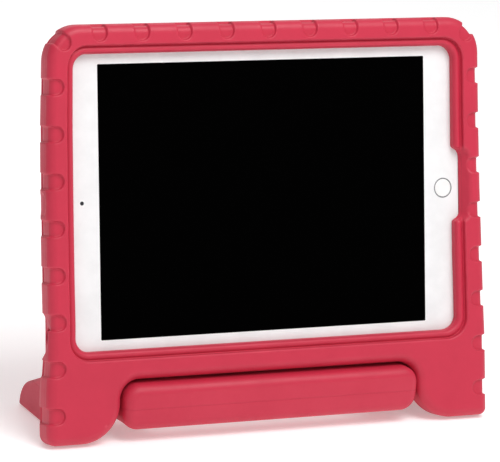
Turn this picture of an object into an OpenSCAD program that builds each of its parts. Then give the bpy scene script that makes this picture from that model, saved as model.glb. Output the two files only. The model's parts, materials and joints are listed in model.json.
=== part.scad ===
/* [Tablet] */
// Width of the tablet
tablet_w = 240; // [200:0.5:290]
// Height of the tablet
tablet_h = 169.5; // [140:0.5:220]
// Thickness of the tablet
tablet_t = 7.5; // [6.5:0.1:10]
// Corner radius of the tablet
tablet_r = 8; // [5:0.5:12]
// White border beside the display, left and right
side_border = 21.45; // [19:0.05:26]
// White border above and below the display
end_border = 10.85; // [8:0.05:16]
// Thickness of the front glass
glass_t = 0.8; // [0.6:0.1:1]
// Wall of the tablet's metal back
housing_wall = 0.9; // [0.8:0.1:1.2]

/* [Case] */
// Foam beside the tablet, left and right
rim_side = 11; // [9:0.5:14]
// Foam above the tablet
rim_top = 10.45; // [9:0.5:14]
// Foam below the tablet, down to the underside of the lower beam
rim_bottom = 10.75; // [9:0.5:16]
// Foam that stands in front of the glass
front_rise = 7.5; // [6:0.5:9]
// Foam behind the tablet
back_wall = 6.5; // [5:0.5:9]
// Outer corner radius of the case
corner_r = 20; // [16:1:24]
// Rounding of the front edge
front_round = 5.2; // [4:0.1:6]
// Rounding of the back edge
back_round = 12; // [8:0.5:13]
// How far the lip covers the tablet's edge
lip_cover = 5.1; // [3:0.1:6]
// Depth of the step from the rim down to the lip
lip_step = 3; // [2:0.5:4]
// Gap between the tablet and the pocket
pocket_gap = 0.3; // [0.1:0.1:0.6]

/* [Grip notches] */
// Distance from one notch to the next
notch_pitch = 25; // [18:1:32]
// Width of a notch
notch_w = 8.8; // [6:0.2:10]
// Length of a notch from the outer edge
notch_length = 9.2; // [7:0.2:10]
// Depth of a notch
notch_depth = 1.5; // [1:0.1:2.5]
// How far behind the glass the side notches end
side_notch_back = 9; // [0:0.5:10]
// How far behind the glass the top notches end
top_notch_back = 0; // [-2:0.5:6]

/* [Feet] */
// How far the feet reach below the lower beam
foot_drop = 33.1; // [26:0.5:40]
// Width of a foot
foot_w = 41.5; // [36:0.5:46]
// Radius of a foot's inner lower corner
foot_inner_r = 20.5; // [14:0.5:20.5]
// Radius of a foot's outer lower corner
foot_outer_r = 5; // [4:0.5:12]
// Rounding of the heel that the case stands on
heel_r = 10; // [8:0.5:12]
// How far the case leans back on its stand
lean = 12; // [8:1:18]

/* [Handle and stand] */
// Height of the grip bar
bar_h = 24.4; // [18:0.1:27]
// Depth of the grip bar
bar_depth = 25; // [20:0.5:28]
// Rounding of the grip bar
bar_round = 5; // [3:0.5:8]
// Corner radius at the ends of the grip bar
bar_end_r = 9; // [8:0.5:11]
// Gap between the floor and the bar
bar_lift = 6.8; // [5:0.1:9]
// Gap from the bar's end to the foot beside it
bar_gap = 1; // [0.6:0.1:3]
// How far the bar stands in front of the feet's line on the floor
bar_front = 11.2; // [8:0.2:14]
// Radius of the hinge barrel
hub_r = 12; // [11:0.5:13]
// Clearance between the hinge barrel and the case
hub_gap = 0.8; // [0.5:0.1:1.5]
// Height of the hinge axis above the floor
pivot_h = 17.5; // [14:0.5:20]
// Radius of a stand leg's toe
toe_r = 21; // [12:0.5:22]
// How much of the round toe is cut off flat by the floor
toe_sink = 24; // [6:0.5:26]
// Distance from the feet's line on the floor to the end of the toes
toe_reach = 65.8; // [60:0.1:80]
// Gap from a leg's outer face to the foot's outer face
leg_inset = 12.4; // [8:0.1:14]
// Width of each arm between bar and hinge
arm_w = 20; // [14:1:30]
// Radius of a hinge pin
pin_r = 3; // [2.5:0.1:3.5]
// Wall of a bush round the hinge pin
bush_wall = 2; // [1.5:0.1:2.5]
// Radial play of the pin in its bush
pin_play = 0.06; // [0.03:0.01:0.09]
// Width of a hinge lug on the case
lug_w = 9; // [7:0.5:10]
// Gap beside a lug
lug_gap = 0.5; // [0.4:0.1:1]

/* [Controls] */
// Diameter of the home button
home_d = 9.8; // [8:0.1:11]
// Distance from the tablet's edge to the middle of the home button
home_inset = 9.7; // [8.5:0.1:11]
// Play between a button and its opening
button_play = 0.08; // [0.05:0.01:0.15]
// How far a side button stands out
button_rise = 0.5; // [0.3:0.1:0.8]
// Length of a side button
button_length = 11; // [8:0.5:14]
// Diameter of the opening for the rear camera
camera_hole_d = 16; // [12:0.5:20]

/* [Hidden] */
$fn = 48;

foam = [0.82, 0.24, 0.34];
eps = 0.01;
far = 20;                // how far a cutter runs past the surface it opens

// The case's own frame: X to the right, Y back from the glass, Z up the tablet.
half_w = tablet_w / 2 + rim_side;
top_z = tablet_h / 2 + rim_top;
beam_z = -tablet_h / 2 - rim_bottom;
foot_z = beam_z - foot_drop;
front_y = -front_rise;
back_y = tablet_t + back_wall;
wall_x = half_w - foot_w;
inner_r = min(foot_inner_r, foot_w / 2);

// The floor frame: Y back, Z up, origin centred under the whole object.
foot_line_y = (bar_front - toe_reach) / 2;
foot_flat = 0.23;        // how much of the feet's rounded heel is flat on the floor
heel_y = back_y - heel_r;
heel_z = foot_z + heel_r;
glass_height = heel_r - foot_flat + heel_y * sin(lean) - heel_z * cos(lean);
glass_y = foot_line_y - heel_y * cos(lean) - heel_z * sin(lean);

// The hinge, first in the floor frame and then in the case's frame.
// It lies one barrel and one clearance behind the case's back at its own height.
pivot_y_case = back_y + hub_gap + hub_r;
pivot_z_case = (pivot_h - glass_height + pivot_y_case * sin(lean)) / cos(lean);
pivot_y = glass_y + pivot_y_case * cos(lean) + pivot_z_case * sin(lean);

// The bar, arms and legs across the width.
bar_half = wall_x - bar_gap;
arm_out = bar_half - 4;
leg_start = arm_out - 3;
arm_in = arm_out - arm_w;
leg_out = half_w - leg_inset;
leg_in = wall_x + bar_gap;
lug_mid = (leg_in + leg_out) / 2;
lug_r = hub_r - 1.5;
slot_w = lug_w + 2 * lug_gap;
slot_r = lug_r + hub_gap;
pin_cover = 2;           // foam left over each end of a pin
pin_in = leg_in + pin_cover;
pin_out = leg_out - pin_cover;
toe_y = foot_line_y + toe_reach - toe_r;
fold = 101;              // travel of the stand from the floor up to the case's back

// The notches stand at whole and half pitches from the tablet's centre.
top_notches = floor((half_w - corner_r - notch_w) / notch_pitch);
high_notch = floor((top_z - corner_r) / notch_pitch - 0.5);
low_notch = -1 - floor((-foot_z - notch_w) / notch_pitch - 0.5);

// The display and the lip round the glass.
screen_w = tablet_w - 2 * side_border;
screen_h = tablet_h - 2 * end_border;
open_w = tablet_w - 2 * lip_cover;
open_h = tablet_h - 2 * lip_cover;
step_w = tablet_w - 1;
step_h = tablet_h - 1.5;
lip_y = front_y + lip_step;

// Where the tablet's controls are.
home_x = tablet_w / 2 - home_inset;
home_back = glass_t + 0.75;
scoop_top = 22;
scoop_bottom = -18;
camera_x = -tablet_w / 2 + 15;
camera_z = tablet_h / 2 - 12.7;
front_camera_x = -tablet_w / 2 + 11.5;
power_z = tablet_h / 2 - 18;
volume_x = [-tablet_w / 2 + 38, -tablet_w / 2 + 52];
socket_z = -tablet_h / 2 + 14;
mid_y = tablet_t / 2 + 0.3;
speaker_z = 27;
speaker_length = 26;
button_h = 2.4;
button_seat = 0.25;      // clearance behind a pressed button

function dir(a) = [cos(a), sin(a)];
function arc(cx, cy, r, a0, a1, n = 6) =
    [for (i = [0 : n]) [cx + r * cos(a0 + (a1 - a0) * i / n), cy + r * sin(a0 + (a1 - a0) * i / n)]];

// From the case's frame to the floor frame.
module lean_back() {
    translate([0, glass_y, glass_height]) rotate([-lean, 0, 0]) children();
}

// A cylinder along Y from y0 to y1.
module cyl_y(r, y0, y1) {
    translate([0, y0, 0]) rotate([-90, 0, 0]) cylinder(r = r, h = y1 - y0);
}

// A cylinder along X from x0 to x1.
module cyl_x(r, x0, x1) {
    translate([x0, 0, 0]) rotate([0, 90, 0]) cylinder(r = r, h = x1 - x0);
}

// A disc along Y whose front and back edges are rounded.
module soft_disc(r, y0, y1, rf, rb) {
    rotate([-90, 0, 0]) rotate_extrude($fn = 48)
        polygon(concat(
            [[0, y0]],
            arc(r - rf, y0 + rf, rf, -90, 0),
            arc(r - rb, y1 - rb, rb, 0, 90),
            [[0, y1]]));
}

// A rounded rectangle across X and Z, from y0 to y1.
module plate(w, h, r, y0, y1) {
    translate([0, y0, 0]) rotate([-90, 0, 0]) linear_extrude(y1 - y0) {
        square([w - 2 * r, h], center = true);
        square([w, h - 2 * r], center = true);
        for (x = [-1, 1], z = [-1, 1]) translate([x * (w / 2 - r), z * (h / 2 - r)]) circle(r);
    }
}

// The foam slab behind and around the tablet; inset shrinks all its outer faces.
module slab(inset = 0) {
    r = corner_r - inset;
    hull()
        for (x = [-1, 1], z = [top_z - corner_r, beam_z + corner_r])
            translate([x * (half_w - corner_r), 0, z])
                soft_disc(r, front_y + inset, back_y - inset, front_round - inset, back_round - inset);
}

module foot(side, inset = 0) {
    rf = front_round - inset;
    rb = heel_r - inset - eps;
    ro = foot_outer_r - inset;
    y0 = front_y + inset;
    y1 = back_y - inset;
    hull() {
        translate([side * (half_w - corner_r), 0, beam_z + corner_r])
            soft_disc(corner_r - inset, y0, y1, rf, back_round - inset);
        translate([side * (half_w - foot_outer_r), 0, foot_z + foot_outer_r])
            soft_disc(ro, y0, heel_y + ro, min(rf, ro - eps), ro - eps);
        translate([side * (wall_x + inner_r), 0, foot_z + inner_r])
            soft_disc(inner_r - inset, y0, y1, rf, rb);
        // the heel, across the foot
        translate([side * (half_w - 2 * foot_outer_r), heel_y, foot_z + heel_r])
            cyl_x(heel_r - inset, -foot_outer_r, foot_outer_r);
    }
}

// Foam that fills the corner where a foot's inner wall meets the beam.
module fillet(side, r = 8, edge = 2) {
    y0 = front_y + edge;
    y1 = back_y - 3 * edge;
    translate([side * (wall_x - r), y0, beam_z - r]) difference() {
        translate([side > 0 ? 0 : -r - edge, 0, 0]) cube([r + edge, y1 - y0, r + edge]);
        cyl_y(r, -1, y1 - y0 + 1);
    }
}

// The outline of one notch, its closed end towards -Z of its own frame.
module notch_cut(back) {
    r = notch_w / 2;
    translate([0, 0, -notch_length + r]) cyl_y(r, front_y - 1, back);
    translate([-r, front_y - 1, -notch_length + r]) cube([notch_w, back - front_y + 1, notch_length]);
}

module notches() {
    for (i = [-top_notches : top_notches]) translate([i * notch_pitch, 0, top_z]) notch_cut(top_notch_back);
    for (side = [-1, 1]) {
        for (i = [low_notch : high_notch])
            translate([side * half_w, 0, (i + 0.5) * notch_pitch]) rotate([0, side * 90, 0]) notch_cut(side_notch_back);
        translate([side * (half_w - corner_r), 0, top_z - corner_r]) rotate([0, side * 45, 0])
            translate([0, 0, corner_r]) notch_cut(side_notch_back);
    }
}

module lug(side) {
    translate([side * lug_mid - lug_w / 2, 0, pivot_z_case]) {
        translate([0, pivot_y_case, 0]) cyl_x(lug_r, 0, lug_w);
        translate([0, back_y - 2, -lug_r]) cube([lug_w, pivot_y_case - back_y + 2, 2 * lug_r]);
    }
}

// Opening round the home button, with a wall that slopes out to the front.
module scoop() {
    z0 = scoop_bottom;
    length = scoop_top - scoop_bottom;
    inner = step_w / 2;
    translate([0, 0, z0]) linear_extrude(length)
        polygon([[inner - far, front_y - 1], [inner + 4.5, front_y - 1], [inner, -1],
                 [inner, 0], [inner - far, 0]]);
}

module case_openings() {
    translate([camera_x, 0, camera_z]) cyl_y(camera_hole_d / 2, tablet_t - 1, back_y + 1);
    // headphone socket: a finger scoop that runs out at the back, and a hole
    translate([0, mid_y + 5.5, socket_z]) cyl_x(11, -half_w - 1, -half_w + 4);
    translate([0, mid_y, socket_z]) cyl_x(4.5, -half_w - 1, -tablet_w / 2);
    // microphone recess
    translate([0, mid_y, 0]) cyl_x(6, -half_w - 1, -half_w + notch_depth);
    // charging slot and sound slots
    for (s = [[0, 15, 8], [speaker_z, speaker_length, 5], [-speaker_z, speaker_length, 5]])
        translate([tablet_w / 2 - 1, mid_y, s[0]]) {
            translate([0, -s[2] / 2, -s[1] / 2 + s[2] / 2]) cube([rim_side + 2, s[2], s[1] - s[2]]);
            for (z = [-1, 1]) translate([0, 0, z * (s[1] - s[2]) / 2]) cyl_x(s[2] / 2, 0, rim_side + 2);
        }
    // room over the side buttons
    translate([-tablet_w / 2 - 1.2, mid_y - 2.5, power_z - button_length / 2 - 1])
        cube([2, 5, button_length + 2]);
    translate([volume_x[0] - button_length / 2 - 1, mid_y - 2.5, tablet_h / 2 - 1])
        cube([volume_x[1] - volume_x[0] + button_length + 2, 5, 2.2]);
}

module case_shell() {
    color(foam) lean_back() difference() {
        union() {
            slab();
            for (side = [-1, 1]) {
                foot(side);
                fillet(side);
                lug(side);
            }
        }
        plate(tablet_w + 2 * pocket_gap, tablet_h + 2 * pocket_gap, tablet_r, -0.1, tablet_t);
        plate(open_w, open_h, tablet_r, front_y - 1, 1);
        plate(step_w, step_h, tablet_r + 4, front_y - 1, lip_y);
        scoop();
        case_openings();
        difference() {
            notches();
            slab(notch_depth);
            foot(-1, notch_depth);
            foot(1, notch_depth);
        }
        for (side = [-1, 1]) translate([0, pivot_y_case, pivot_z_case])
            cyl_x(pin_r + pin_play + bush_wall, side * lug_mid - lug_w, side * lug_mid + lug_w);
        // the heels stand flat on the floor
        rotate([lean, 0, 0]) translate([-half_w - 1, -half_w, -glass_height - far])
            cube([2 * half_w + 2, 2 * half_w, far]);
    }
}

// Foam bar between the feet.
module bar() {
    y0 = foot_line_y - bar_front;
    hull()
        for (x = [-1, 1], z = [bar_end_r, bar_h - bar_end_r])
            translate([x * (bar_half - bar_end_r), 0, bar_lift + z])
                soft_disc(bar_end_r, y0, y0 + bar_depth, bar_round, bar_round);
}

module arm(side) {
    x0 = side > 0 ? arm_in : -arm_out;
    r = bar_round - 1.5;
    hull() {
        translate([x0, pivot_y, pivot_h]) cyl_x(hub_r, 0, arm_w);
        for (z = [bar_round, bar_h - bar_round - 1.5])
            translate([x0, foot_line_y - bar_front + bar_depth - bar_round, bar_lift + z]) cyl_x(r, 0, arm_w);
    }
}

module leg(side) {
    x0 = side > 0 ? leg_start : -leg_out;
    hull() {
        translate([x0, pivot_y, pivot_h]) cyl_x(hub_r, 0, leg_out - leg_start);
        translate([x0, toe_y, toe_r - toe_sink]) cyl_x(toe_r, 0, leg_out - leg_start);
    }
}

// The inner end of a hinge pin, on the hinge axis.
module pin_place(side) {
    translate([side > 0 ? pin_in : -pin_out, pivot_y, pivot_h]) children();
}

// Room for a lug in the leg, over the whole travel of the stand.
module lug_slot(side) {
    start = 180 - lean;
    end = start - fold - 1;
    reach = 2 * hub_r;
    translate([side * lug_mid - slot_w / 2, pivot_y, pivot_h]) {
        cyl_x(slot_r, 0, slot_w);
        rotate([90, 0, 90]) linear_extrude(slot_w)
            polygon([
                slot_r * dir(start + 90),
                slot_r * dir(end - 90),
                slot_r * dir(end - 90) + reach * dir(end),
                2 * reach * dir((start + end) / 2),
                slot_r * dir(start + 90) + reach * dir(start)
            ]);
    }
}

module handle_stand() {
    color(foam) difference() {
        union() {
            bar();
            for (side = [-1, 1]) {
                arm(side);
                leg(side);
            }
        }
        for (side = [-1, 1]) {
            lug_slot(side);
            pin_place(side) cyl_x(pin_r, 0, pin_out - pin_in);
        }
        translate([-half_w, -half_w, -toe_sink - far]) cube([2 * half_w, 2 * half_w, toe_sink + far]);
    }
}

module pivot_pin(side) {
    color([0.75, 0.76, 0.78]) pin_place(side) cyl_x(pin_r, 0, pin_out - pin_in);
}

module lug_bush(side) {
    color([0.9, 0.9, 0.88]) translate([side * lug_mid - lug_w / 2, pivot_y, pivot_h]) difference() {
        cyl_x(pin_r + pin_play + bush_wall, 0, lug_w);
        cyl_x(pin_r + pin_play, -1, lug_w + 1);
    }
}

// Tablet pieces, all in the case's frame.
module tablet_disc(inset, y1) {
    soft_disc(tablet_r - inset, glass_t, y1, 0.3, 2.5);
}

module housing_body() {
    hull()
        for (x = [-1, 1], z = [-1, 1])
            translate([x * (tablet_w / 2 - tablet_r), 0, z * (tablet_h / 2 - tablet_r)])
                tablet_disc(0, tablet_t);
}

// A side button's opening or body, standing up along +Z from its own frame.
module side_key(w, t, z0, z1) {
    translate([-(w - t) / 2, -t / 2, z0]) cube([w - t, t, z1 - z0]);
    for (x = [-1, 1]) translate([x * (w - t) / 2, 0, z0]) cylinder(d = t, h = z1 - z0);
}

// Moves a key from its own frame to the tablet's left or top edge.
module at_power() {
    translate([-tablet_w / 2, mid_y, power_z]) rotate([0, -90, 0]) children();
}

module at_volume(i) {
    translate([volume_x[i], mid_y, tablet_h / 2]) children();
}

module key_hole() {
    side_key(button_length + 2 * button_play, button_h + 2 * button_play, -3, 2);
}

// A key with a collar inside the housing, which keeps it from falling out.
module key() {
    side_key(button_length, button_h, -housing_wall - button_seat - 0.5, button_rise);
    side_key(button_length + 1.6, button_h + 1.2, -housing_wall - button_seat - 1.5,
        -housing_wall - button_seat / 2);
}

module tablet_housing() {
    color([0.8, 0.81, 0.83]) lean_back() difference() {
        housing_body();
        plate(tablet_w - 2 * housing_wall, tablet_h - 2 * housing_wall, tablet_r - housing_wall,
            glass_t - 1, tablet_t - housing_wall);
        at_power() key_hole();
        for (i = [0, 1]) at_volume(i) key_hole();
        translate([0, mid_y, socket_z]) cyl_x(1.85, -tablet_w / 2 - 1, -tablet_w / 2 + 2);
        charge_hole(9.4, 3.2, tablet_w / 2 - 3, tablet_w / 2 + 1);
        for (z = [-1, 1]) sound_holes(z, 1.2, tablet_w / 2 - 2, tablet_w / 2 + 1);
        translate([camera_x, 0, camera_z]) cyl_y(4, tablet_t - 2, tablet_t + 1);
    }
}

module charge_hole(w, t, x0, x1) {
    for (z = [-1, 1]) translate([0, mid_y, z * (w - t) / 2]) cyl_x(t / 2, x0, x1);
    translate([x0, mid_y - t / 2, -(w - t) / 2]) cube([x1 - x0, t, w - t]);
}

module sound_holes(side, d, x0, x1) {
    for (i = [-4 : 4]) translate([0, mid_y, side * speaker_z + 2.6 * i]) cyl_x(d / 2, x0, x1);
}

module tablet_border() {
    color("white") lean_back() difference() {
        plate(tablet_w, tablet_h, tablet_r, 0, glass_t);
        plate(screen_w, screen_h, 0.6, -1, glass_t + 1);
        translate([home_x, 0, 0]) cyl_y(home_d / 2 + button_play + 0.6, -1, glass_t + 1);
        translate([front_camera_x, 0, 0]) cyl_y(1.1, -1, glass_t + 1);
    }
}

module display_panel() {
    color([0.02, 0.02, 0.02]) lean_back() plate(screen_w, screen_h, 0.6, 0, 2.4);
}

module home_button() {
    color("white") lean_back() translate([home_x, 0, 0]) difference() {
        union() {
            cyl_y(home_d / 2, 0.05, home_back);
            cyl_y(home_d / 2 + 1, glass_t + 0.15, home_back);
        }
        translate([0, -20 + 0.45, 0]) sphere(20, $fn = 96);
    }
}

module home_button_ring() {
    color([0.7, 0.71, 0.74]) lean_back() translate([home_x, 0, 0]) difference() {
        cyl_y(home_d / 2 + button_play + 0.6, -0.05, glass_t);
        cyl_y(home_d / 2 + button_play, -1, glass_t + 1);
    }
}

module front_camera_lens() {
    color([0.1, 0.1, 0.12]) lean_back() translate([front_camera_x, 0, 0]) cyl_y(1.1, 0, glass_t);
}

module rear_camera_ring() {
    color([0.7, 0.71, 0.74]) lean_back() translate([camera_x, 0, camera_z]) difference() {
        cyl_y(4, tablet_t - 2, tablet_t + 0.2);
        cyl_y(3.2, tablet_t - 3, tablet_t + 1);
    }
}

module rear_camera_lens() {
    color([0.05, 0.05, 0.08]) lean_back() translate([camera_x, 0, camera_z]) cyl_y(3.2, tablet_t - 2, tablet_t);
}

module power_button() {
    color([0.75, 0.76, 0.78]) lean_back() at_power() key();
}

module volume_button(i) {
    color([0.75, 0.76, 0.78]) lean_back() at_volume(i) key();
}

module headphone_socket() {
    color([0.2, 0.2, 0.2]) lean_back() translate([0, mid_y, socket_z]) difference() {
        cyl_x(2.5, -tablet_w / 2 + housing_wall, -tablet_w / 2 + 14);
        cyl_x(1.75, -tablet_w / 2, -tablet_w / 2 + 13);
    }
}

module charge_port() {
    inner = tablet_w / 2 - housing_wall;
    color([0.2, 0.2, 0.2]) lean_back() difference() {
        translate([inner - 8, mid_y - 2, -6]) cube([8, 4, 12]);
        charge_hole(8.4, 2.5, inner - 7, inner + 1);
    }
}

module speaker_grilles() {
    inner = tablet_w / 2 - housing_wall;
    color([0.2, 0.2, 0.2]) lean_back() for (side = [-1, 1]) difference() {
        translate([inner - 1, mid_y - 1.5, side * speaker_z - speaker_length / 2])
            cube([1, 3, speaker_length]);
        sound_holes(side, 0.7, inner - 2, inner + 1);
    }
}

// A flat block on the inside of the housing's back.
module inside_block(x0, w, h, t) {
    translate([x0 - tablet_w / 2, tablet_t - housing_wall - t, -h / 2]) cube([w, t, h]);
}

module battery() {
    color([0.15, 0.15, 0.17]) lean_back() inside_block(50, tablet_w - 90, tablet_h - 60, 3.3);
}

module logic_board() {
    color([0.1, 0.35, 0.2]) lean_back() inside_block(16, 28, tablet_h - 70, 2.2);
}

case_shell();
handle_stand();
pivot_pin(-1);  // left_pivot_pin
pivot_pin(1);  // right_pivot_pin
lug_bush(-1);  // left_lug_bush
lug_bush(1);  // right_lug_bush
tablet_housing();
tablet_border();
display_panel();
home_button();
home_button_ring();
front_camera_lens();
rear_camera_ring();
rear_camera_lens();
power_button();
volume_button(0);  // volume_up_button
volume_button(1);  // volume_down_button
headphone_socket();
charge_port();
speaker_grilles();
battery();
logic_board();
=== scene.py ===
import json
import math

import bpy
import numpy as np
from mathutils import Matrix, Vector


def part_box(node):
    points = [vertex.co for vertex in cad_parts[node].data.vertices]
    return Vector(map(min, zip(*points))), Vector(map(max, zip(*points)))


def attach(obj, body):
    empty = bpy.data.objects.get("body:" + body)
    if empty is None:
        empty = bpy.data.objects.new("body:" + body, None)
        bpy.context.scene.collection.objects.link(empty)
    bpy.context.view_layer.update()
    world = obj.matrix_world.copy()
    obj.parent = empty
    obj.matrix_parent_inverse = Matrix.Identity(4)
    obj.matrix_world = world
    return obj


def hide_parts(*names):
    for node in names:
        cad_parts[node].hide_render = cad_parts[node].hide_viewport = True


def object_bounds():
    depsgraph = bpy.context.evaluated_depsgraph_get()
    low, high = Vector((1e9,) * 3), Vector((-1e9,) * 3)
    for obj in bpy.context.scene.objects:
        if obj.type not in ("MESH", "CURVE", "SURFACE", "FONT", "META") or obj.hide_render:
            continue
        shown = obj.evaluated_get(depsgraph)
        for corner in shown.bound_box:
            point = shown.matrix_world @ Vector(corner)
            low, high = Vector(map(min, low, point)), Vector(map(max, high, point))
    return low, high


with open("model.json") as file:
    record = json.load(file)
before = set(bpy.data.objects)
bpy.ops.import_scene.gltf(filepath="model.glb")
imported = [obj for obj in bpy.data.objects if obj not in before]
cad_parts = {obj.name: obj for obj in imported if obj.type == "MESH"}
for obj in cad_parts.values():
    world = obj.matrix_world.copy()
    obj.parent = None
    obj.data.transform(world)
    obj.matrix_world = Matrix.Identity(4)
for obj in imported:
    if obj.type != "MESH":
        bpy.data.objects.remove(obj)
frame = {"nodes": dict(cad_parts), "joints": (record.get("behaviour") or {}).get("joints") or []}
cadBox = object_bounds()
scene = bpy.context.scene
lean = math.radians(12.0)  # how far the tablet leans back
glassHalf = 0.4  # half the thickness of the front glass, in millimetres


def joint(name):
    return next(j for j in frame["joints"] if j["name"] == name)


def midPoint(node):
    low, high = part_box(node)
    return (low + high) / 2


# The middle of the glass, half a glass thickness in front of the border's own middle.
borderMid = midPoint("tablet_border") * 1000
glassY = borderMid.y - glassHalf * math.cos(lean)
glassZ = borderMid.z + glassHalf * math.sin(lean)
hinge = [1000 * v for v in joint("stand_fold")["pos_m"]]


def fromTablet(points):
    # from the tablet's own frame to the frame of the floor
    x, y, z = points.T
    return np.stack([x,
                     y * math.cos(lean) + z * math.sin(lean) + glassY,
                     z * math.cos(lean) - y * math.sin(lean) + glassZ], axis=1)


def toTablet(y, z):
    y, z = y - glassY, z - glassZ
    return y * math.cos(lean) - z * math.sin(lean), y * math.sin(lean) + z * math.cos(lean)


# The foam shapes are distance fields in millimetres, negative inside.
def corner(a, b, r):
    # where both are negative, with their common edge rounded by r
    u, v = a + r, b + r
    return np.minimum(np.maximum(u, v), 0) + np.hypot(np.maximum(u, 0), np.maximum(v, 0)) - r


def roundRect(x, z, halfW, halfH, r):
    return corner(np.abs(x) - halfW, np.abs(z) - halfH, r)


def merge(a, b, k):
    h = np.maximum(k - np.abs(a - b), 0) / k
    return np.minimum(a, b) - h * h * k / 4


def cut(solid, hole, r):
    return corner(solid, -hole, r)


def smooth(value, low, high):
    t = np.clip((value - low) / (high - low), 0, 1)
    return t * t * (3 - 2 * t)


# Sizes of the foam case in millimetres, in the tablet's own frame:
# x to the right, y back from the glass, z up the tablet, origin in the middle of the glass.
caseSizes = {
    "halfWidth": 131.0,
    "top": 95.2,
    "beam": -95.5,  # underside of the beam between the feet
    "foot": -128.6,
    "front": -7.5,
    "back": 14.0,
    "cornerRound": 20.0,
    "footRound": (5.5, 4.0),  # left foot, right foot
    "frontRound": 5.2,
    "backRound": 12.0,
    "heelRound": 10.0,
    "heelBlend": (15.0, 20.0),  # above and below the beam, from backRound to heelRound
    "footWidth": 41.5,
    "footInnerRound": 22.0,
    "recessRound": 11.0,
    "step": (119.5, 84.0, 12.0),  # half width, half height, corner
    "stepDepth": 3.0,
    "lipBead": (1.0, 2.5, 2.1),  # height, distance from the step's wall, half width
    "opening": (114.9, 79.4, 8.0),
    "openingBack": 2.0,
    "pocket": (120.3, 85.05, 8.0),
    "pocketFront": -0.1,
    "tabletThickness": 7.5,
    "notchPitch": 25.0,
    "notchWidth": 8.8,
    "notchLength": 9.2,
    "notchDepth": 1.5,
    "notchEdge": (0.5, 0.25),  # reach of its soft edge, inwards and outwards
    "topNotches": (-4, 4),
    "sideNotches": (-5, 2),
    "topNotchFade": (-1.0, 0.5),  # y where a notch starts to fade and where it ends
    "sideNotchFade": (7.5, 9.5),
    "splayHeights": (-120, -100, -85, -65, -40, 0, 40, 75, 95),
    "splayLeft": (1.6, 1.4, 0.3, -0.6, -0.3, -0.4, -0.9, -2.4, -2.6),
    "splayRight": (3.4, 3.4, 3.3, 2.6, 1.9, 0.8, 0.2, 0.0, 0.0),
    "scoop": (2.0, 20.0, 5.0),  # middle height, half length, corner
    "scoopSlope": (-1.0, 0.62),  # y where its wall starts to slope, and how fast
    "scoopInner": 100.0,
    "scoopBack": 0.5,
    "cameraHole": (-105.0, 72.05, 8.0),  # x, z, radius
    "cameraStart": 5.0,
    "sideMiddle": 4.05,  # y of the middle of the tablet's edge
    "wallInside": 115.0,  # x where the openings in the side walls end
    "socketHeight": -70.75,
    "socketScoop": (5.5, 11.0, 4.0),  # how far behind the socket, radius, depth
    "socketHole": 4.5,
    "microphone": (6.0, 1.5),  # radius, depth
    "sideSlots": ((0, 15, 8), (27, 26, 5), (-27, 26, 5)),  # middle, length, width
    "powerRoom": (66.75, 6.5, -121.2, -115.0),  # middle, half length, outer end, inner end
    "volumeRoom": (-75.0, 13.5, 85.95, 80.0),
    "keyRoomHalf": 2.5,
    "lugMiddle": 104.55,
    "lugWidth": 9.0,
    "lugRound": 10.5,
    "lugStart": 10.0,  # y where the lugs start, inside the back
    "lugBlend": 2.0,
    "bushRound": 5.06,
    "bushStart": 17.0,  # y from which the lugs are bored for the bushes
    "edges": {  # rounding where a cut meets the skin
        "step": 1.1,
        "opening": 1.8,
        "scoop": 1.6,
        "cameraHole": 1.5,
        "socketScoop": 1.8,
        "socketHole": 0.8,
        "microphone": 1.5,
        "sideSlot": 0.9,
        "lug": 1.0,
    },
    # rounding at the bottom of a cut
    "floors": {"step": 0.3, "scoop": 1.0, "socketScoop": 1.5, "microphone": 0.8},
    "lineWidth": 0.6,
    "meshLow": (-135, -10, -132),
    "meshHigh": (137, 39, 98),
}


def splayed(x, z):
    # the soft foam splays outwards towards its feet and leans in at the top left
    s = caseSizes
    right = np.interp(z, s["splayHeights"], s["splayRight"])
    left = np.interp(z, s["splayHeights"], s["splayLeft"])
    reach = np.clip(np.abs(x) / s["halfWidth"], 0, 1) ** 6
    return x - np.where(x > 0, right, -left) * reach


def foamBlock(x, y, z):
    # the outline with its two feet, rounded to the front and to the back
    s = caseSizes
    wallX = s["halfWidth"] - s["footWidth"]
    midZ = (s["top"] + s["foot"]) / 2
    halfZ = (s["top"] - s["foot"]) / 2
    footLeft, footRight = s["footRound"]
    cornerR = np.where(z > midZ, s["cornerRound"], np.where(x > 0, footRight, footLeft))
    outer = roundRect(x, z - midZ, s["halfWidth"], halfZ, cornerR)
    recess = corner(np.abs(x) - wallX, z - s["beam"], s["recessRound"])
    outline = corner(outer, -recess, s["footInnerRound"])
    above, below = s["heelBlend"]
    low = smooth(-z, -s["beam"] - above, -s["beam"] + below)
    backR = s["backRound"] + (s["heelRound"] - s["backRound"]) * low
    return np.maximum(corner(outline, s["front"] - y, s["frontRound"]),
                      corner(outline, y - s["back"], backR))


def notchMask(along, inward):
    # 1 inside one U-shaped notch, 0 outside, soft at its edge
    s = caseSizes
    r = s["notchWidth"] / 2
    past = np.maximum(inward - (s["notchLength"] - r), 0)
    d = np.hypot(past, along) - r
    inside, outside = s["notchEdge"]
    return 1 - smooth(d, -inside, outside)


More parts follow.
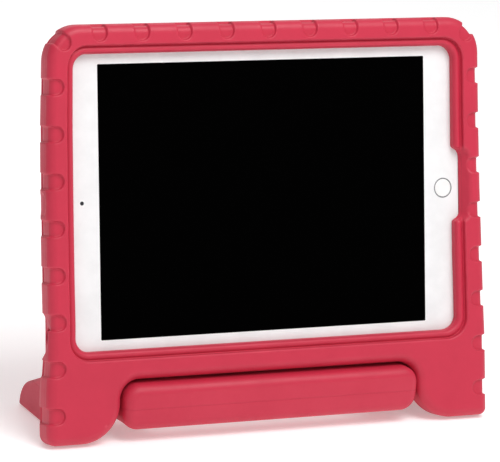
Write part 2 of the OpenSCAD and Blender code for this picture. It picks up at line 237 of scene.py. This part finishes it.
def gripNotches(x, y, z):
    # along the top, both sides and the top corners
    s = caseSizes
    ax = np.abs(x)
    pitch = s["notchPitch"]
    first, last = s["topNotches"]
    along = x - pitch * np.clip(np.round(x / pitch), first, last)
    top = notchMask(along, s["top"] - z) * (1 - smooth(y, *s["topNotchFade"]))
    first, last = s["sideNotches"]
    along = z - pitch * (np.clip(np.round(z / pitch - 0.5), first, last) + 0.5)
    side = notchMask(along, s["halfWidth"] - ax)
    cx = ax - (s["halfWidth"] - s["cornerRound"])
    cz = z - (s["top"] - s["cornerRound"])
    diagonal = (cx + cz) / math.sqrt(2)
    side = np.maximum(side, notchMask((cx - cz) / math.sqrt(2), s["cornerRound"] - diagonal))
    side = side * (1 - smooth(y, *s["sideNotchFade"]))
    return s["notchDepth"] * np.maximum(top, side)


def cutFront(body, x, y, z):
    s = caseSizes
    edges, floors = s["edges"], s["floors"]

    # step down to the beaded lip, then the opening to the glass
    inside = roundRect(x, z, *s["step"])
    rise, middle, half = s["lipBead"]
    bead = rise * np.maximum(1 - ((-inside - middle) / half) ** 2, 0)
    step = corner(inside, y - (s["front"] + s["stepDepth"] - bead), floors["step"])
    body = cut(body, step, edges["step"])
    opening = np.maximum(roundRect(x, z, *s["opening"]), y - s["openingBack"])
    body = cut(body, opening, edges["opening"])

    # finger scoop beside the home button, its wall sloping out to the front
    mid, half, r = s["scoop"]
    start, rate = s["scoopSlope"]
    wall = s["step"][0] + rate * np.maximum(start - y, 0)
    scoop = corner(x - wall, np.abs(z - mid) - half, r)
    scoop = corner(scoop, s["scoopInner"] - x, floors["scoop"])
    scoop = np.maximum(scoop, y - s["scoopBack"])
    return cut(body, scoop, edges["scoop"])


def cutWalls(body, x, y, z):
    s = caseSizes
    edges, floors = s["edges"], s["floors"]
    up = z - s["socketHeight"]
    across = y - s["sideMiddle"]
    left = x + s["halfWidth"]

    # camera hole in the back, then the headphone socket and the microphone on the left
    hx, hz, r = s["cameraHole"]
    hole = np.maximum(np.hypot(x - hx, z - hz) - r, s["cameraStart"] - y)
    body = cut(body, hole, edges["cameraHole"])
    behind, r, depth = s["socketScoop"]
    dent = corner(np.hypot(up, across - behind) - r, left - depth, floors["socketScoop"])
    body = cut(body, dent, edges["socketScoop"])
    hole = np.maximum(np.hypot(up, across) - s["socketHole"], x + s["wallInside"])
    body = cut(body, hole, edges["socketHole"])
    r, depth = s["microphone"]
    dent = corner(np.hypot(z, across) - r, left - depth, floors["microphone"])
    body = cut(body, dent, edges["microphone"])

    # charging slot between two sound slots on the right
    for zMid, length, width in s["sideSlots"]:
        run = np.maximum(np.abs(z - zMid) - (length - width) / 2, 0)
        slot = np.hypot(across, run) - width / 2
        body = cut(body, np.maximum(slot, s["wallInside"] - x), edges["sideSlot"])

    # room over the side keys
    mid, half, outer, inner = s["powerRoom"]
    powerRoom = np.maximum(np.abs(z - mid) - half, np.maximum(outer - x, x - inner))
    mid, half, outer, inner = s["volumeRoom"]
    volumeRoom = np.maximum(np.abs(x - mid) - half, np.maximum(z - outer, inner - z))
    rooms = np.maximum(np.minimum(powerRoom, volumeRoom), np.abs(across) - s["keyRoomHalf"])
    return np.maximum(body, -rooms)


def addLugs(body, x, y, z):
    # hinge lugs and the bores for their bushes
    s = caseSizes
    hy, hz = toTablet(hinge[1], hinge[2])
    lugX = np.abs(np.abs(x) - s["lugMiddle"]) - s["lugWidth"] / 2
    arm = np.hypot(np.maximum(y - hy, 0), z - hz) - s["lugRound"]
    lug = np.maximum(corner(lugX, arm, s["edges"]["lug"]), s["lugStart"] - y)
    body = merge(body, lug, s["lugBlend"])
    bore = np.maximum(np.hypot(y - hy, z - hz) - s["bushRound"], s["bushStart"] - y)
    return np.maximum(body, -bore)


def caseField(x, y, z):
    s = caseSizes
    softX = splayed(x, z)
    body = foamBlock(softX, y, z) + gripNotches(softX, y, z)
    body = cutFront(body, softX, y, z)

    # the pocket, the wall openings and the lugs stay where the tablet and the stand need them
    depth = np.maximum(s["pocketFront"] - y, y - s["tabletThickness"])
    body = np.maximum(body, -np.maximum(roundRect(x, z, *s["pocket"]), depth))
    body = cutWalls(body, x, y, z)
    body = addLugs(body, x, y, z)
    floor = z * math.cos(lean) - y * math.sin(lean) + glassZ
    return np.maximum(body, -floor)


# Sizes of the stand in millimetres, in the floor frame. Its bar, arms and legs are one moulding.
standSizes = {
    "barLeft": -88.3,
    "barRight": 89.3,
    "barHeight": 25.2,
    "barDepth": 25.0,
    "barLift": 6.8,
    "barRound": 5.0,
    "barEnd": 9.0,
    "draft": 0.04,  # taper of the bar's faces, per millimetre up or down
    "armOut": 84.5,
    "armIn": 64.5,
    "armEnd": 9.5,  # radius of the arm's end in the bar
    "armRound": 3.0,
    "armBlend": 5.0,
    "legOut": 118.6,
    "legOverlap": 4.0,  # how far the leg reaches into the arm
    "legRound": 2.2,
    "legBlend": 1.0,
    "soleRound": 1.2,
    "hub": 12.0,
    "toe": 16.5,
    "toeSink": 15.0,  # how much of the toe's round is under the sole
    "toeOut": 0.8,
    "lugSlot": (104.55, 5.0, 11.3),  # middle, half width, radius
    "slotRound": 1.0,
    "fold": 102.0,  # degrees of travel that the slot leaves room for
    "pinRound": 3.0,
    "pinEnds": (92.5, 116.6),
    "lineWidth": 0.7,
    "meshMargin": 3,
}


def taper(u, v, ax, ay, ra, bx, by, rb):
    # the outline round two circles and their common tangents
    dx, dy = bx - ax, by - ay
    length = math.hypot(dx, dy)
    along = ((u - ax) * dx + (v - ay) * dy) / length
    off = np.abs((v - ay) * dx - (u - ax) * dy) / length
    sine = (ra - rb) / length
    cosine = math.sqrt(1 - sine * sine)
    t = along * cosine - off * sine
    side = off * cosine + along * sine - ra
    nearA = np.hypot(along, off) - ra
    nearB = np.hypot(along - length, off) - rb
    return np.where(t < 0, nearA, np.where(t > cosine * length, nearB, side))


def hingeRoom(ax, u, v):
    # room for the case's lug over the whole travel, round the hinge's axis
    s = standSizes
    lugX, half, r = s["lugSlot"]
    start = math.pi - lean
    end = start - math.radians(s["fold"])
    mid = (start + end) / 2
    wedge = np.maximum(u * math.sin(end) - v * math.cos(end),
                       v * math.cos(start) - u * math.sin(start)) - r
    chord = r * math.sin((start - end) / 2)
    wedge = np.maximum(wedge, -(u * math.cos(mid) + v * math.sin(mid)) - chord)
    room = np.minimum(np.hypot(u, v) - r, wedge)
    return np.maximum(room, np.abs(ax - lugX) - half)


def standField(x, y, z):
    s = standSizes
    low, high = (1000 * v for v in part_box("handle_stand"))
    hy, hz = hinge[1], hinge[2]
    ax = np.abs(x)

    # grip bar
    barMidY = low.y + s["barDepth"] / 2
    barMidZ = s["barLift"] + s["barHeight"] / 2
    barMidX = (s["barLeft"] + s["barRight"]) / 2
    barHalf = (s["barRight"] - s["barLeft"]) / 2
    face = roundRect(x - barMidX, z - barMidZ, barHalf, s["barHeight"] / 2, s["barEnd"])
    draft = s["draft"] * np.abs(z - barMidZ)
    bar = corner(face, np.abs(y - barMidY) + draft - s["barDepth"] / 2, s["barRound"])

    # arms from the bar back to the hinge
    armY = low.y + s["barDepth"] - s["barRound"]
    armMid = (s["armOut"] + s["armIn"]) / 2
    armX = np.abs(ax - armMid) - (s["armOut"] - s["armIn"]) / 2
    arm = taper(y, z, armY, barMidZ, s["armEnd"], hy, hz, s["hub"])
    arm = corner(arm, armX, s["armRound"])

    # legs from the hinge back to the toes
    toeY = high.y - s["toe"] + s["toeOut"]
    toeZ = s["toe"] - s["toeSink"]
    legMid = (s["legOut"] + s["armOut"] - s["legOverlap"]) / 2
    legX = np.abs(ax - legMid) - (s["legOut"] - s["armOut"] + s["legOverlap"]) / 2
    profile = taper(y, z, hy, hz, s["hub"], toeY, toeZ, s["toe"])
    leg = corner(corner(profile, -z, s["soleRound"]), legX, s["legRound"])
    body = merge(merge(bar, arm, s["armBlend"]), leg, s["legBlend"])

    # slots for the lugs, then the bores that hold the pins
    u, v = y - hy, z - hz
    body = cut(body, hingeRoom(ax, u, v), s["slotRound"])
    pinIn, pinOut = s["pinEnds"]
    pinX = np.abs(ax - (pinIn + pinOut) / 2) - (pinOut - pinIn) / 2
    body = np.maximum(body, -np.maximum(np.hypot(u, v) - s["pinRound"], pinX))
    return np.maximum(body, -z)


def meshFromField(name, field, low, high, cell, place=None):
    # one vertex in each cell that the surface crosses, one face round each edge it crosses
    low = np.array(low, float)
    count = np.ceil((np.array(high) - low) / cell).astype(int) + 1
    axes = [low[i] + cell * np.arange(count[i]) for i in range(3)]
    values = np.empty(count, np.float32)
    slab = 24  # layers worked out at a time, to spare memory
    for i in range(0, count[0], slab):
        x, y, z = np.meshgrid(axes[0][i:i + slab], axes[1], axes[2], indexing="ij")
        values[i:i + slab] = field(x, y, z)
    shape = tuple(count)
    total = int(np.prod(count))
    sums = np.zeros((total, 3))
    hits = np.zeros(total)
    quads = []
    for a in range(3):
        b, c = (a + 1) % 3, (a + 2) % 3
        first = [slice(None)] * 3
        second = [slice(None)] * 3
        first[a] = slice(0, -1)
        second[a] = slice(1, None)
        v0, v1 = values[tuple(first)], values[tuple(second)]
        edges = np.argwhere((v0 < 0) != (v1 < 0))
        start = v0[tuple(edges.T)].astype(float)
        end = v1[tuple(edges.T)].astype(float)
        points = edges.astype(float)
        points[:, a] += start / (start - end)
        cells = []
        for db, dc in ((-1, -1), (0, -1), (0, 0), (-1, 0)):
            index = edges.copy()
            index[:, b] += db
            index[:, c] += dc
            flat = np.ravel_multi_index(index.T, shape)
            cells.append(flat)
            hits += np.bincount(flat, minlength=total)
            for k in range(3):
                sums[:, k] += np.bincount(flat, points[:, k], minlength=total)
        ring = np.stack(cells, axis=1)
        ring[start >= 0] = ring[start >= 0][:, ::-1]
        quads.append(ring)
    used = np.flatnonzero(hits)
    number = np.full(total, -1)
    number[used] = np.arange(len(used))
    points = low + cell * sums[used] / hits[used][:, None]
    faces = number[np.concatenate(quads)]

    # move the points onto the field's own surface, a little further each time
    h = 0.04  # half the distance over which the slope is measured
    gentlest = 0.3  # keeps the move small where the field is flat
    for _ in range(3):
        x, y, z = points.T
        here = field(x, y, z)
        slope = np.stack([field(x + h, y, z) - field(x - h, y, z),
                          field(x, y + h, z) - field(x, y - h, z),
                          field(x, y, z + h) - field(x, y, z - h)], axis=1) / (2 * h)
        size = np.maximum((slope ** 2).sum(1), gentlest)
        move = slope * (here / size)[:, None]
        points -= np.clip(move, -cell / 3, cell / 3)
    if place is not None:
        points = place(points)
    mesh = bpy.data.meshes.new(name)
    mesh.from_pydata((points / 1000).tolist(), [], faces.tolist())
    mesh.update()
    mesh.shade_smooth()
    piece = bpy.data.objects.new(name, mesh)
    scene.collection.objects.link(piece)
    print(name, len(points), "points", len(faces), "faces")
    return piece


def shaderGroup(name, inputs, outputs):
    group = bpy.data.node_groups.new(name, "ShaderNodeTree")
    for label, kind, value in inputs:
        socket = group.interface.new_socket(name=label, in_out="INPUT", socket_type=kind)
        socket.default_value = value
    for label in outputs:
        group.interface.new_socket(name=label, in_out="OUTPUT", socket_type="NodeSocketFloat")
    return group, group.nodes.new("NodeGroupInput"), group.nodes.new("NodeGroupOutput")


def feed(tree, socket, value):
    # a number or a colour is set on the socket, anything else is linked to it
    if isinstance(value, (int, float)):
        socket.default_value = value
    elif isinstance(value, tuple):
        socket.default_value = (*value, 1)
    else:
        tree.links.new(value, socket)


def calc(tree, operation, *values):
    node = tree.nodes.new("ShaderNodeMath")
    node.operation = operation
    for socket, value in zip(node.inputs, values):
        feed(tree, socket, value)
    return node.outputs[0]


def remap(tree, value, low, high, outLow=0.0, outHigh=1.0):
    node = tree.nodes.new("ShaderNodeMapRange")
    node.interpolation_type = "SMOOTHSTEP"
    feed(tree, node.inputs["From Min"], low)
    feed(tree, node.inputs["From Max"], high)
    feed(tree, node.inputs["To Min"], outLow)
    feed(tree, node.inputs["To Max"], outHigh)
    feed(tree, node.inputs["Value"], value)
    return node.outputs["Result"]


def noise(tree, scale, detail=3.0, rough=0.5):
    place = tree.nodes.new("ShaderNodeTexCoord")
    node = tree.nodes.new("ShaderNodeTexNoise")
    node.inputs["Detail"].default_value = detail
    node.inputs["Roughness"].default_value = rough
    tree.links.new(place.outputs["Object"], node.inputs["Vector"])
    feed(tree, node.inputs["Scale"], scale)
    return node.outputs["Fac"]


skinGrain = {
    "fine": (4.0, 0.6),  # detail and roughness of each noise
    "coarse": (2.0, 0.5),
    "mottle": (5.0, 0.62),
    "marks": (6.0, 0.7),
    "coarseScale": 0.22,  # as a part of the fine grain's scale
    "fineHeight": 0.7,
    "coarseHeight": 0.5,
    "marksScale": 230.0,
    "marksRange": (0.58, 0.78),
}


def makeGrain():
    # fine moulded skin, broad mottling and faint handling marks
    g = skinGrain
    group, given, result = shaderGroup(
        "skinGrain",
        [("Grain Scale", "NodeSocketFloat", 1400.0), ("Mottle Scale", "NodeSocketFloat", 45.0)],
        ["Height", "Mottle", "Marks"])
    scale = given.outputs["Grain Scale"]
    fine = noise(group, scale, *g["fine"])
    coarse = noise(group, calc(group, "MULTIPLY", scale, g["coarseScale"]), *g["coarse"])
    height = calc(group, "ADD",
                  calc(group, "MULTIPLY", fine, g["fineHeight"]),
                  calc(group, "MULTIPLY", coarse, g["coarseHeight"]))
    mottle = noise(group, given.outputs["Mottle Scale"], *g["mottle"])
    marks = remap(group, noise(group, g["marksScale"], *g["marks"]), *g["marksRange"])
    group.links.new(height, result.inputs["Height"])
    group.links.new(mottle, result.inputs["Mottle"])
    group.links.new(marks, result.inputs["Marks"])
    return group


def makeLine():
    # a thin line where the plane direction . point = offset crosses the surface
    group, given, result = shaderGroup(
        "mouldLine",
        [("Direction", "NodeSocketVector", (0, 0, 1)), ("Offset", "NodeSocketFloat", 0.0),
         ("Width", "NodeSocketFloat", 0.0006)],
        ["Mask"])
    place = group.nodes.new("ShaderNodeTexCoord")
    dot = group.nodes.new("ShaderNodeVectorMath")
    dot.operation = "DOT_PRODUCT"
    group.links.new(place.outputs["Object"], dot.inputs[0])
    group.links.new(given.outputs["Direction"], dot.inputs[1])
    height = calc(group, "SUBTRACT", dot.outputs["Value"], given.outputs["Offset"])
    away = calc(group, "ABSOLUTE", height)
    mask = remap(group, away, 0.0, given.outputs["Width"], 1.0, 0.0)
    group.links.new(mask, result.inputs["Mask"])
    return group


# patchiness of the lighter edges, which are wear and painted highlight together
wearHighlightPatches = {
    "scale": 90.0,
    "noise": (4.0, 0.6),
    "range": (0.35, 0.65),
}


def makeWearAndHighlight():
    # 1 on outer edges, in patches: wear where hands and tables rub, and a painted highlight along
    #                               the sharp edges that catch the light
    group, given, result = shaderGroup(
        "edgeWearAndHighlight",
        [("Low", "NodeSocketFloat", 0.5), ("High", "NodeSocketFloat", 0.58)],
        ["Mask"])
    geometry = group.nodes.new("ShaderNodeNewGeometry")
    low, high = given.outputs["Low"], given.outputs["High"]
    edge = remap(group, geometry.outputs["Pointiness"], low, high)
    speckle = noise(group, wearHighlightPatches["scale"], *wearHighlightPatches["noise"])
    patchy = remap(group, speckle, *wearHighlightPatches["range"])
    group.links.new(calc(group, "MULTIPLY", edge, patchy), result.inputs["Mask"])
    return group


grainGroup = makeGrain()
lineGroup = makeLine()
wearHighlightGroup = makeWearAndHighlight()


def addGroup(tree, group, values):
    node = tree.nodes.new("ShaderNodeGroup")
    node.node_tree = group
    for label, value in values.items():
        node.inputs[label].default_value = value
    return node


def mixColour(tree, factor, a, b):
    node = tree.nodes.new("ShaderNodeMix")
    node.data_type = "RGBA"
    for label, value in (("Factor", factor), ("A", a), ("B", b)):
        socket = next(i for i in node.inputs if i.name == label and i.enabled)
        feed(tree, socket, value)
    return next(o for o in node.outputs if o.enabled)


def newMaterial(name, finish):
    material = bpy.data.materials.new(name)
    material.use_nodes = True
    tree = material.node_tree
    shader = tree.nodes["Principled BSDF"]
    for label, value in finish.items():
        shader.inputs[label].default_value = value
    return material, tree, shader


def addBump(tree, shader, height, distance):
    bump = tree.nodes.new("ShaderNodeBump")
    bump.inputs["Distance"].default_value = distance
    bump.inputs["Strength"].default_value = 1.0
    tree.links.new(height, bump.inputs["Height"])
    tree.links.new(bump.outputs["Normal"], shader.inputs["Normal"])


foamLook = {
    "deep": (0.44, 0.012, 0.038),
    "main": (0.57, 0.024, 0.060),
    # lighter colour for the handling marks, and for the edge wear with its painted highlight
    "wornAndHighlight": (0.68, 0.075, 0.115),
    "finish": {
        "Specular IOR Level": 0.43,
        "Sheen Weight": 0.02,
        "Sheen Roughness": 0.5,
        "Sheen Tint": (1, 0.6, 0.66, 1),
    },
    "grain": {"Grain Scale": 1500.0, "Mottle Scale": 38.0},
    "wearAndHighlight": {"Low": 0.505, "High": 0.57},
    "toneRange": (0.30, 0.72),  # of the mottling, from deep to main
    "mainShare": 0.75,
    "wearHighlightShare": 0.5,
    "marksShare": 0.12,
    "lineShare": 0.35,
    "rough": (0.42, 0.54),
    "roughRange": (0.3, 0.75),
    "grainDepth": 0.00005,
    "lineDepth": 2.1,
}


def foamMaterial(name, direction, offset, width):
    look = foamLook
    deep, main, wornAndHighlight = look["deep"], look["main"], look["wornAndHighlight"]
    material, tree, shader = newMaterial(name, look["finish"])
    grain = addGroup(tree, grainGroup, look["grain"]).outputs
    wearAndHighlight = addGroup(tree, wearHighlightGroup, look["wearAndHighlight"]).outputs["Mask"]
    line = addGroup(
        tree, lineGroup, {"Direction": direction, "Offset": offset, "Width": width}).outputs["Mask"]

    tone = mixColour(tree, remap(tree, grain["Mottle"], *look["toneRange"]), deep, main)
    tone = mixColour(tree, look["mainShare"], tone, main)
    # the edges turn to the lighter colour: rub wear and a painted highlight
    tone = mixColour(tree, calc(tree, "MULTIPLY", wearAndHighlight, look["wearHighlightShare"]), tone, wornAndHighlight)
    tone = mixColour(tree, calc(tree, "MULTIPLY", grain["Marks"], look["marksShare"]), tone, wornAndHighlight)
    tone = mixColour(tree, calc(tree, "MULTIPLY", line, look["lineShare"]), tone, deep)
    tree.links.new(tone, shader.inputs["Base Color"])

    polished, dull = look["rough"]
    rough = remap(tree, grain["Mottle"], *look["roughRange"], dull, polished)
    tree.links.new(rough, shader.inputs["Roughness"])
    groove = calc(tree, "MULTIPLY", line, look["lineDepth"])
    height = calc(tree, "SUBTRACT", grain["Height"], groove)
    addBump(tree, shader, height, look["grainDepth"])
    return material


glassNormal = (0.0, math.cos(lean), -math.sin(lean))
glassOffset = (glassY * math.cos(lean) - glassZ * math.sin(lean)) / 1000
lineY = caseSizes["front"] + caseSizes["frontRound"]  # where the front round ends
cell = 0.65

caseFoam = foamMaterial(
    "caseFoam", glassNormal, glassOffset + lineY / 1000, caseSizes["lineWidth"] / 1000)
caseBody = meshFromField(
    "caseBody", caseField, caseSizes["meshLow"], caseSizes["meshHigh"], cell, fromTablet)
caseBody.data.materials.append(caseFoam)
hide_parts("case_shell")
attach(caseBody, "case")

barMiddle = standSizes["barLift"] + standSizes["barHeight"] / 2
standFoam = foamMaterial(
    "standFoam", (0, 0, 1), barMiddle / 1000, standSizes["lineWidth"] / 1000)
standLow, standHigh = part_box("handle_stand")
margin = standSizes["meshMargin"]
meshLow = tuple(1000 * v - margin for v in standLow)
meshHigh = tuple(1000 * v + margin for v in standHigh)
standBody = meshFromField("standBody", standField, meshLow, meshHigh, cell)
standBody.data.materials.append(standFoam)
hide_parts("handle_stand")
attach(standBody, "stand")
print("foam done")


hardFinish = {
    "darker": 0.93,
    "toneRange": (0.3, 0.7),
    "mottleScale": 60.0,
    "roughSpread": 0.04,
    "coatRough": 0.05,
    "grain": 900.0,
    "depth": 0.000004,
}


def hardMaterial(name, colour, rough, metallic=0.0, specular=0.5, coat=0.0,
                 grain=hardFinish["grain"], depth=hardFinish["depth"]):
    # moulded plastic, glass or metal: a slight change of tone and polish over the surface
    f = hardFinish
    material, tree, shader = newMaterial(name, {
        "Metallic": metallic,
        "Specular IOR Level": specular,
        "Coat Weight": coat,
        "Coat Roughness": f["coatRough"],
    })
    skin = addGroup(
        tree, grainGroup, {"Grain Scale": grain, "Mottle Scale": f["mottleScale"]}).outputs
    darker = tuple(c * f["darker"] for c in colour)
    tone = mixColour(tree, remap(tree, skin["Mottle"], *f["toneRange"]), darker, colour)
    tree.links.new(tone, shader.inputs["Base Color"])
    patch = remap(tree, skin["Marks"], 0.0, 1.0, rough, rough + f["roughSpread"])
    tree.links.new(patch, shader.inputs["Roughness"])
    addBump(tree, shader, skin["Height"], depth)
    return material


# The tablet and the hinge hardware keep their CAD shapes: each finish, and what wears it.
hardPieces = {
    "whiteGlass": (
        {"colour": (0.88, 0.88, 0.885), "rough": 0.12, "coat": 0.3},
        ("tablet_border",)),
    "blackDisplay": (
        {"colour": (0.0006, 0.0006, 0.0006), "rough": 0.10, "specular": 0.0},
        ("display_panel",)),
    "whiteButton": (
        {"colour": (0.90, 0.90, 0.89), "rough": 0.15, "coat": 0.4},
        ("home_button",)),
    "ringMetal": (
        {"colour": (0.62, 0.62, 0.64), "rough": 0.25, "metallic": 1.0},
        ("home_button_ring", "rear_camera_ring")),
    "lensGlass": (
        {"colour": (0.015, 0.015, 0.022), "rough": 0.05, "coat": 1.0},
        ("front_camera_lens", "rear_camera_lens")),
    "shellMetal": (
        {"colour": (0.66, 0.67, 0.69), "rough": 0.36, "metallic": 1.0,
         "grain": 2600.0, "depth": 0.000012},
        ("tablet_housing", "power_button", "volume_up_button", "volume_down_button")),
    "pinSteel": (
        {"colour": (0.58, 0.58, 0.60), "rough": 0.3, "metallic": 1.0},
        ("left_pivot_pin", "right_pivot_pin")),
    "bushPlastic": (
        {"colour": (0.78, 0.78, 0.75), "rough": 0.45},
        ("left_lug_bush", "right_lug_bush")),
    "portPlastic": (
        {"colour": (0.02, 0.02, 0.022), "rough": 0.5},
        ("headphone_socket", "charge_port", "speaker_grilles")),
    "cellWrap": (
        {"colour": (0.03, 0.03, 0.035), "rough": 0.4},
        ("battery",)),
    "boardLacquer": (
        {"colour": (0.02, 0.12, 0.05), "rough": 0.35},
        ("logic_board",)),
}
for finishName, (look, nodes) in hardPieces.items():
    finish = hardMaterial(finishName, **look)
    for node in nodes:
        nodeMesh = frame["nodes"][node].data
        nodeMesh.materials.clear()
        nodeMesh.materials.append(finish)
print("tablet done")


# Metres and watts.
studio = {
    "floor": (0.92, 0.92, 0.92),
    "floorHalf": 6.0,
    "floorFinish": {"Roughness": 0.8, "Specular IOR Level": 0.2},
    "floorShade": 0.985,
    "floorMottle": 3.0,
    "floorGlow": 0.3,
    "sky": 0.40,
    "lights": (  # name, place, size, power
        ("keyLight", (0.35, -0.9, 1.5), (1.1, 1.1), 12.8),
        ("fillLight", (-1.4, -1.2, 0.7), (1.2, 1.2), 1.6),
        ("backLight", (0.2, 1.3, 1.2), (1.4, 1.0), 6.0),
        ("topLight", (0.1, -0.45, 0.95), (0.7, 0.4), 2.9),
    ),
}


def makeFloor():
    half = studio["floorHalf"]
    corners = [(-half, -half, 0), (half, -half, 0), (half, half, 0), (-half, half, 0)]
    mesh = bpy.data.meshes.new("floor")
    mesh.from_pydata(corners, [], [(0, 1, 2, 3)])
    floor = bpy.data.objects.new("floor", mesh)
    scene.collection.objects.link(floor)
    material, tree, shader = newMaterial("floorPaper", studio["floorFinish"])
    paper = studio["floor"]
    shaded = tuple(c * studio["floorShade"] for c in paper)
    tone = mixColour(tree, noise(tree, studio["floorMottle"]), shaded, paper)
    tree.links.new(tone, shader.inputs["Base Color"])
    shader.inputs["Emission Color"].default_value = (1, 1, 1, 1)
    shader.inputs["Emission Strength"].default_value = studio["floorGlow"]
    mesh.materials.append(material)


def makeLights():
    world = bpy.data.worlds.new("studio")
    scene.world = world
    world.use_nodes = True
    background = world.node_tree.nodes["Background"]
    background.inputs["Color"].default_value = (1, 1, 1, 1)
    background.inputs["Strength"].default_value = studio["sky"]
    middle = (cadBox[0] + cadBox[1]) / 2
    for name, spot, size, power in studio["lights"]:
        lamp = bpy.data.lights.new(name, "AREA")
        lamp.shape = "RECTANGLE"
        lamp.size, lamp.size_y = size
        lamp.energy = power
        light = bpy.data.objects.new(name, lamp)
        scene.collection.objects.link(light)
        light.location = spot
        light.rotation_euler = (middle - light.location).to_track_quat("-Z", "Y").to_euler()


# Metres and degrees, with the lens and the sensor in millimetres.
view = {
    "aim": (-0.0043, -0.00015, 0.1049),
    "distance": 1.959,
    "azimuth": -26.56,
    "pitch": 15.12,
    "roll": 4.64,
    "lens": 257.4,
    "sensor": 36.0,
    "farEnd": 50,
}


def makeCamera():
    turn, pitch = math.radians(view["azimuth"]), math.radians(view["pitch"])
    flat = math.cos(pitch)
    ahead = Vector((-math.sin(turn) * flat, math.cos(turn) * flat, -math.sin(pitch)))
    right = ahead.cross(Vector((0, 0, 1))).normalized()
    up = right.cross(ahead)
    data = bpy.data.cameras.new("camera")
    data.lens = view["lens"]
    data.sensor_width = view["sensor"]
    data.clip_end = view["farEnd"]
    camera = bpy.data.objects.new("camera", data)
    scene.collection.objects.link(camera)
    basis = Matrix((right, up, -ahead)).transposed().to_4x4()
    place = Matrix.Translation(Vector(view["aim"]) - ahead * view["distance"])
    camera.matrix_world = place @ basis @ Matrix.Rotation(math.radians(view["roll"]), 4, "Z")
    scene.camera = camera


makeFloor()
makeLights()
makeCamera()
scene.view_settings.view_transform = "Standard"
print("studio done")
